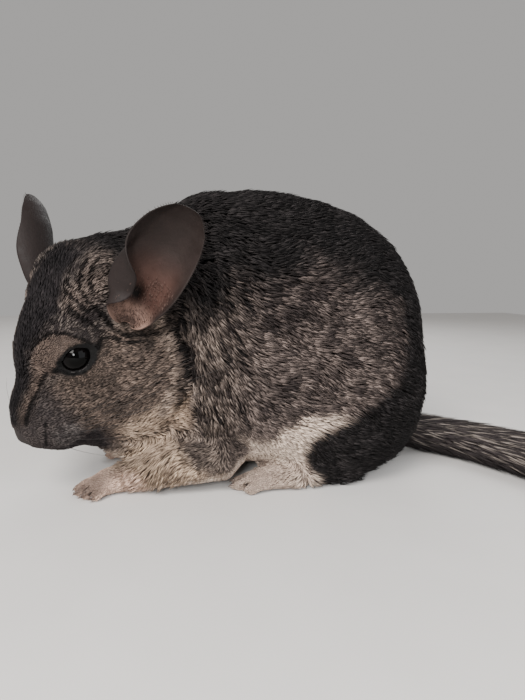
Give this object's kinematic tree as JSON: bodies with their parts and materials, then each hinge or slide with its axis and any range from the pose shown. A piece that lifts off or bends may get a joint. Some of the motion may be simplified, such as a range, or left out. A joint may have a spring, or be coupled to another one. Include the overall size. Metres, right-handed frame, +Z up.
{
  "type": "chinchilla",
  "caption": "Still, life-size chinchilla crouching on the floor with its head low and turned to its left, round upright ears and a bushy tail laid out behind.",
  "frame": {"origin": "middle of the underside of the whole animal's box, on the floor", "axes": "-X toward the animal's front, -Y toward its left side, +Z up from the floor"},
  "size_m": [0.2332, 0.171, 0.12],
  "materials": {
    "coat": "dense soft fur, dark grey over the back, mid grey flecked with pale tips on the flanks, cream on the belly, chest and paws",
    "tail_brush": "long coarse hair, dark grey-brown flecked with pale grey",
    "ear_skin": "thin, almost bare grey-brown skin, pinker toward the root",
    "eye": "wet, glossy, nearly black"
  },
  "bodies": {
    "root": {"head": "coat", "neck": "coat", "torso": "coat", "foreleg_left": "coat", "foreleg_right": "coat", "hindleg_left": "coat", "hindleg_right": "coat", "ear_left": "ear_skin", "ear_right": "ear_skin", "eye_left": "eye", "eye_right": "eye", "tail_base": "tail_brush", "tail_middle": "tail_brush", "tail_tip": "tail_brush"}
  },
  "joints": []
}
